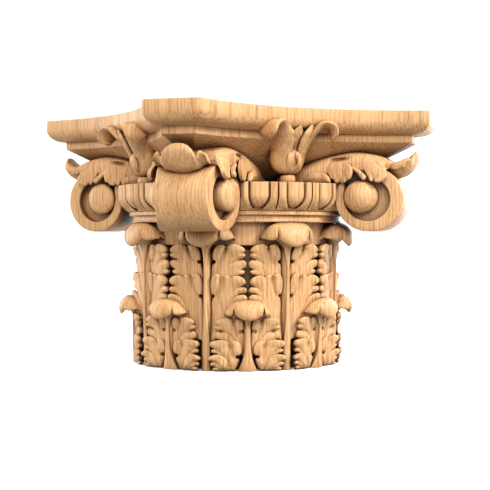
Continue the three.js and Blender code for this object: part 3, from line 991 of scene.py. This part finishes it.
def side_petal():
    """A broad petal that leans out, turns over and curls back."""
    return swept(
        [
            (96, 9, 184), (99, 11.5, 195), (103.5, 15, 206), (110, 19.6, 216), (116.5, 26, 221.6),
            (120.8, 32.4, 218.6), (121.6, 34.0, 212), (120.6, 31.6, 207.6),
        ],
        wide=[6, 7, 9.4, 12, 13, 12.6, 10.4, 4],
        deep=[4, 4.4, 4.6, 4.2, 3.6, 3.2, 2.8, 1.8],
        widthway=(0.97, -0.25, 0),
    )


def shoulder():
    """A pointed leaf between the side petal and the middle one."""
    return swept(
        [(101, 8, 186), (106, 9.4, 197), (111, 11, 207), (116, 12.2, 214.5), (119.4, 12.6, 220.6)],
        wide=[5, 6.8, 8.6, 7.4, 1.2],
        deep=[3, 3.4, 3.6, 3.0, 1],
        widthway=(-0.5, 0.87, 0),
    )


def middle_petal():
    """The pointed petal at the back of the hollow."""
    return swept(
        [(98, 0, 190), (106, 0, 203), (113, 0.6, 213), (118, 1.2, 219.0)],
        wide=[6, 8, 7, 1.2],
        deep=[3.4, 3.4, 3, 1],
        widthway=ACROSS,
    )


def bud():
    """Two small leaves that close round a hole low on the cup."""
    left = swept(
        [(103, -2.6, 180), (107.2, -3.4, 187), (109.0, -2.8, 192.5), (108.6, -0.5, 197.5)],
        wide=[3, 4.4, 4.2, 0.8],
        deep=[2.2, 2.2, 2.0, 0.8],
        widthway=ACROSS,
    )
    right = swept(
        [(104, 2.4, 181.5), (107.4, 4.6, 184), (109.2, 5.0, 188.6), (109.6, 2.6, 194), (108.6, -0.5, 197.5)],
        wide=[2.2, 2.2, 2.4, 3.0, 0.8],
        deep=[2.2, 2.2, 2.2, 2.0, 0.8],
        widthway=ACROSS,
    )
    return [left, right]


def flower():
    """A cup on a button, open in front between two petals that curl out from pointed shoulders."""
    pair = [side_petal(), mirrored(side_petal()), shoulder(), mirrored(shoulder())]
    return [cup(), button()] + pair + [middle_petal()] + bud()


# Wood

def node(tree, kind, inputs, **settings):
    """A shader node with its settings, each input given a value or joined to another node's output."""
    made = tree.nodes.new(kind)
    for key, value in settings.items():
        setattr(made, key, value)
    for key, value in inputs.items():
        if isinstance(value, bpy.types.NodeSocket):
            tree.links.new(value, made.inputs[key])
        else:
            made.inputs[key].default_value = value
    return made


def maths(tree, operation, first, second):
    """The sum or product of two numbers, either of which may be a constant."""
    return node(tree, "ShaderNodeMath", {0: first, 1: second}, operation=operation).outputs[0]


def multiplied(tree, first, second):
    """One colour multiplied by another."""
    mix = node(tree, "ShaderNodeMix", {}, data_type="RGBA", blend_type="MULTIPLY")
    mix.inputs["Factor"].default_value = 1.0
    tree.links.new(first, mix.inputs["A"])
    tree.links.new(second, mix.inputs["B"])
    return mix.outputs["Result"]


def ramp(tree, fac, *stops):
    """Colours or grey levels along a number."""
    made = node(tree, "ShaderNodeValToRGB", {0: fac})
    band = made.color_ramp
    while len(band.elements) < len(stops):
        band.elements.new(0.5)
    for element, (place, colour) in zip(band.elements, stops):
        element.position = place
        element.color = (*colour, 1) if isinstance(colour, tuple) else (colour, colour, colour, 1)
    return made.outputs[0]


def mapped(tree, source, scale_z, turn=(0, 0, 0), shift=(0, 0, 0)):
    """Coordinates turned, shifted and drawn out along the height."""
    inputs = {"Location": shift, "Rotation": turn, "Scale": (1, 1, scale_z), "Vector": source}
    return node(tree, "ShaderNodeMapping", inputs, vector_type="POINT").outputs[0]


def noise(tree, place, scale, detail, roughness):
    """A noise texture node."""
    inputs = {"Vector": place, "Scale": scale, "Detail": detail, "Roughness": roughness}
    return node(tree, "ShaderNodeTexNoise", inputs)


def grain_place(tree):
    """Coordinates on the object in which the lines of the grain lean and bend a little on their way up."""
    place = tree.nodes.new("ShaderNodeTexCoord").outputs["Object"]
    bend = noise(tree, mapped(tree, place, 0.55), 11.0, 2.0, 0.5)
    inputs = {0: bend.outputs["Color"], 1: (0.03, 0.03, 0.0), 2: place}
    return node(tree, "ShaderNodeVectorMath", inputs, operation="MULTIPLY_ADD").outputs[0]


def growth_rings(tree, place):
    """Level of the growth rings, whose middle lies beside the capital."""
    inputs = {
        "Vector": mapped(tree, place, 0.15, turn=(0.05, 0.04, 0.0), shift=(0.62, -0.78, 0.0)),
        "Scale": 105.0, "Distortion": 3.2, "Detail": 2.0, "Detail Scale": 0.45, "Detail Roughness": 0.6,
    }
    wave = node(
        tree, "ShaderNodeTexWave", inputs, wave_type="RINGS", rings_direction="Z", wave_profile="SAW",
    )
    return ramp(tree, wave.outputs["Fac"], (0.0, 0.25), (0.25, 0.85), (0.7, 1.0), (1.0, 0.4))


def grain(tree):
    """One level for the wood's rings, streaks, fibres and broad changes together."""
    place = grain_place(tree)
    streak = noise(tree, mapped(tree, place, 0.035, turn=(0.03, 0.02, 0.0)), 330.0, 3.0, 0.65)
    fibre = noise(tree, mapped(tree, place, 0.03, turn=(0.02, 0.03, 0.4)), 1000.0, 2.0, 0.6)
    broad = noise(tree, mapped(tree, place, 0.12, turn=(0.0, 0.0, 0.7)), 45.0, 2.0, 0.5)
    tone = maths(tree, "MULTIPLY", growth_rings(tree, place), 0.16)
    for texture, share in ((streak, 0.54), (fibre, 0.36), (broad, 0.26)):
        tone = maths(tree, "ADD", tone, maths(tree, "MULTIPLY", texture.outputs["Fac"], share))
    return tone


def wood_colour_with_painted_shade(tree, tone):
    """The wood's colour with painted shade, darker in the deep cuts and hollows and on level faces that look
    upward.
    """
    colour = ramp(
        tree, tone,
        (0.46, (0.26, 0.120, 0.040)),
        (0.58, (0.38, 0.195, 0.078)),
        (0.70, (0.52, 0.290, 0.126)),
        (0.84, (0.61, 0.360, 0.166)),
    )
    # Painted shade: an occlusion ramp darkens the colour in deep cuts and hollows.
    hollow = node(tree, "ShaderNodeAmbientOcclusion", {"Distance": 0.022}, samples=8)
    painted_hollow_shade = ramp(
        tree, hollow.outputs["AO"],
        (0.14, (0.06, 0.036, 0.024)),
        (0.36, (0.50, 0.42, 0.36)),
        (0.66, (1, 1, 1)),
    )
    # Painted shade: faces that look upward are coloured darker.
    normal = tree.nodes.new("ShaderNodeNewGeometry").outputs["Normal"]
    facing = node(tree, "ShaderNodeSeparateXYZ", {0: normal})
    painted_top_shade = ramp(tree, facing.outputs["Z"], (0.8, (1, 1, 1)), (1.0, (0.60, 0.50, 0.42)))
    return multiplied(tree, multiplied(tree, colour, painted_hollow_shade), painted_top_shade)


def wood_material():
    """Light beech-like wood, fine sanded, with its grain running up the object."""
    material = bpy.data.materials.new("carved_beech")
    material.use_nodes = True
    tree = material.node_tree
    tree.nodes.clear()
    tone = grain(tree)
    bump = node(tree, "ShaderNodeBump", {"Strength": 0.3, "Distance": 0.0003, "Height": tone})
    shader = node(tree, "ShaderNodeBsdfPrincipled", {
        "Base Color": wood_colour_with_painted_shade(tree, tone),
        "Roughness": ramp(tree, tone, (0.5, 0.66), (0.8, 0.52)),
        "Specular IOR Level": 0.3,
        "Normal": bump.outputs[0],
    })
    node(tree, "ShaderNodeOutputMaterial", {0: shader.outputs[0]})
    return material


# Stage, light and view, in metres

IMAGE_SIDE = 490
FOCAL_PIXELS = 1244.57
AXIS_PIXEL = (236.43, 233.33)
CAMERA_PLACE = (-0.5767, -1.0647, 0.1235)
CAMERA_FORWARD = (0.4763, 0.8793, 0.0)
FLOOR_FAR = 30.0
FLOOR_DROP = 0.0004


def floor_material():
    """Pale and matt, with a faint glow that keeps it even."""
    material = bpy.data.materials.new("floor")
    material.use_nodes = True
    inputs = material.node_tree.nodes["Principled BSDF"].inputs
    inputs["Base Color"].default_value = (0.92, 0.92, 0.92, 1)
    inputs["Roughness"].default_value = 0.9
    inputs["Specular IOR Level"].default_value = 0.0
    inputs["Emission Color"].default_value = (1, 1, 1, 1)
    inputs["Emission Strength"].default_value = 0.15
    return material


def make_floor():
    """A wide plain floor just under the capital, which throws no light back on it."""
    far = FLOOR_FAR
    corners = [(-far, -far, 0), (far, -far, 0), (far, far, 0), (-far, far, 0)]
    mesh = bpy.data.meshes.new("floor")
    mesh.from_pydata(corners, [], [(0, 1, 2, 3)])
    mesh.materials.append(floor_material())
    floor = bpy.data.objects.new("floor", mesh)
    floor.location.z = -FLOOR_DROP
    floor.visible_diffuse = False
    bpy.context.scene.collection.objects.link(floor)


def make_light(name, place, target, size, power):
    """A soft round light turned to its target."""
    data = bpy.data.lights.new(name, "AREA")
    data.shape = "DISK"
    data.size = size
    data.energy = power
    light = bpy.data.objects.new(name, data)
    light.location = place
    light.rotation_mode = "QUATERNION"
    light.rotation_quaternion = (Vector(target) - Vector(place)).to_track_quat("-Z", "Y")
    bpy.context.scene.collection.objects.link(light)


def make_world(strength, below):
    """An even white studio all round, with less light coming from below."""
    world = bpy.data.worlds.new("studio")
    world.use_nodes = True
    tree = world.node_tree
    direction = tree.nodes.new("ShaderNodeTexCoord").outputs["Generated"]
    apart = node(tree, "ShaderNodeSeparateXYZ", {0: direction})
    inputs = {"Value": apart.outputs["Z"], "From Min": -0.12, "From Max": -0.01, "To Min": below}
    fade = node(tree, "ShaderNodeMapRange", inputs)
    background = tree.nodes["Background"]
    background.inputs["Strength"].default_value = strength
    tree.links.new(fade.outputs["Result"], background.inputs["Color"])
    bpy.context.scene.world = world


def make_camera():
    """A long lens level with the middle of the capital, facing it from a little left of a corner."""
    data = bpy.data.cameras.new("camera")
    data.lens = data.sensor_width * FOCAL_PIXELS / IMAGE_SIDE
    data.shift_x = (IMAGE_SIDE / 2 - AXIS_PIXEL[0]) / IMAGE_SIDE
    data.shift_y = -(IMAGE_SIDE / 2 - AXIS_PIXEL[1]) / IMAGE_SIDE
    camera = bpy.data.objects.new("camera", data)
    camera.location = CAMERA_PLACE
    camera.rotation_mode = "QUATERNION"
    camera.rotation_quaternion = Vector(CAMERA_FORWARD).to_track_quat("-Z", "Y")
    bpy.context.scene.collection.objects.link(camera)
    bpy.context.scene.camera = camera


# The capital put together: eight leaves to a row, the lower ones halfway between the upper ones

wood = wood_material()
upper_turns = [math.radians(45 * k) for k in range(8)]
lower_turns = [angle + math.radians(22.5) for angle in upper_turns]
side_turns = [math.radians(90 * k) for k in range(4)]
corner_turns = [angle + math.radians(45) for angle in side_turns]

stems = [turned(rib(UPPER_RIB), angle) for angle in upper_turns]
stems += [turned(rib(LOWER_RIB), angle) for angle in lower_turns]
tips = [turned(hood(**UPPER_HOOD), angle) for angle in upper_turns]
tips += [turned(hood(**LOWER_HOOD), angle) for angle in lower_turns]
arm = [volute(), arm_tip()] + arm_leaf()

make_piece("bell", [bell_core()] + stems, wood)
make_piece("upper_leaves", leaf_skins(UPPER_LEAF, UPPER_EYES, upper_turns), wood)
make_piece("lower_leaves", leaf_skins(LOWER_LEAF, LOWER_EYES, lower_turns), wood)
make_piece("leaf_tips", tips, wood)
make_piece("egg_ring", [egg_ring(), lathe(BANDS)], wood)
make_piece("abacus", [abacus()], wood)
make_piece("volute_arms", [turned(skin, angle) for angle in corner_turns for skin in arm], wood)
make_piece("flowers", [turned(skin, angle) for angle in side_turns for skin in flower()], wood)

make_floor()
make_world(strength=1.35, below=0.2)
make_light("key", (1.4, -1.9, 1.9), (0, 0, 0.12), size=0.7, power=95)
make_light("fill", (-1.4, -2.3, 1.3), (0, 0, 0.12), size=1.0, power=45)
make_light("rim_right", (2.0, 1.1, 0.5), (0, 0, 0.15), size=1.6, power=60)
make_light("rim_left", (-1.6, 2.1, 0.5), (0, 0, 0.15), size=1.6, power=50)
make_camera()
bpy.context.scene.view_settings.view_transform = "Standard"
